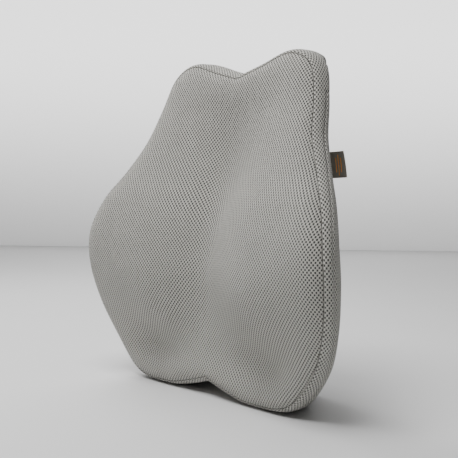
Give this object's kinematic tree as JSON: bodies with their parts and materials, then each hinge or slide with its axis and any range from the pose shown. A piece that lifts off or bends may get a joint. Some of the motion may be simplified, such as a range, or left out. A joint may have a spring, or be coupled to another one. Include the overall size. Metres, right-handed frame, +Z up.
{
  "type": "lumbar support cushion",
  "caption": "Winged foam lumbar cushion in a zipped grey air-mesh cover, with a buckled elastic strap across its flat back.",
  "frame": {"origin": "on the flat back face, middle of the upper back panel, 290 mm above the cushion's lowest point", "axes": "+Z up, +X to the right seen from the front, +Y out of the back face towards the backrest, sitter on the -Y side"},
  "size_m": [0.386, 0.1575, 0.392],
  "materials": {
    "air_mesh": "grey three-layer air mesh, matt, small staggered holes",
    "back_knit": "charcoal plain knit, matt",
    "foam": "open-cell moulded foam, matt",
    "liner": "thin white jersey, matt",
    "zip_tape": "woven polyester tape",
    "zip_coil": "nylon monofilament coil",
    "zip_metal": "dark plated zinc, satin",
    "label_weave": "taupe woven damask tab with plain orange lines",
    "elastic": "black woven elastic, ribbed lengthwise",
    "buckle_plastic": "black acetal, fine spark texture"
  },
  "bodies": {
    "root": {"foam_core": "foam", "inner_liner_front": "liner", "inner_liner_back": "liner", "cover_front_panel": "air_mesh", "cover_side_gusset": "air_mesh", "cover_slope_panel_left": "air_mesh", "cover_slope_panel_right": "air_mesh", "cover_back_panel_upper": "back_knit", "cover_back_panel_lower": "back_knit", "zipper_tape_upper": "zip_tape", "zipper_tape_lower": "zip_tape", "zipper_coil_upper": "zip_coil", "zipper_coil_lower": "zip_coil", "zipper_top_stops": "zip_metal", "zipper_bottom_stop": "zip_metal", "side_label": "label_weave", "strap_patch_left": "back_knit", "strap_patch_right": "back_knit", "strap_left": "elastic", "strap_right": "elastic", "buckle_socket": "buckle_plastic"},
    "zipper_slider": {"zipper_slider": "zip_metal"},
    "zipper_pull": {"zipper_pull": "zip_metal"},
    "buckle_plug": {"buckle_plug": "buckle_plastic"},
    "buckle_arm_upper": {"buckle_arm_upper": "buckle_plastic"},
    "buckle_arm_lower": {"buckle_arm_lower": "buckle_plastic"},
    "strap_keeper": {"strap_keeper": "buckle_plastic"}
  },
  "joints": [
    {"name": "zipper_slide", "type": "slide", "parent": "root", "child": "zipper_slider", "axis": [-1, 0, 0], "range_m": [0, 0.15]},
    {"name": "zipper_pull_flip", "type": "hinge", "parent": "zipper_slider", "child": "zipper_pull", "pos_m": [0.07515, 0.0031, -0.098], "axis": [0, 0, -1], "range_deg": [0, 170]},
    {"name": "buckle_release", "type": "slide", "parent": "root", "child": "buckle_plug", "axis": [1, 0, 0], "range_m": [0, 0.024], "deforming": ["strap_right", "buckle_arm_upper", "buckle_arm_lower"]},
    {"name": "buckle_arm_upper_press", "type": "hinge", "parent": "buckle_plug", "child": "buckle_arm_upper", "pos_m": [-0.0197, 0.016, -0.14], "axis": [0, -1, 0], "range_deg": [0, 12], "stiffness_Nm_per_rad": 0.5},
    {"name": "buckle_arm_lower_press", "type": "hinge", "parent": "buckle_plug", "child": "buckle_arm_lower", "pos_m": [-0.0197, 0.016, -0.164], "axis": [0, 1, 0], "range_deg": [0, 12], "stiffness_Nm_per_rad": 0.5},
    {"name": "keeper_slide", "type": "slide", "parent": "root", "child": "strap_keeper", "axis": [1, 0, 0], "range_m": [0, 0.012]}
  ]
}
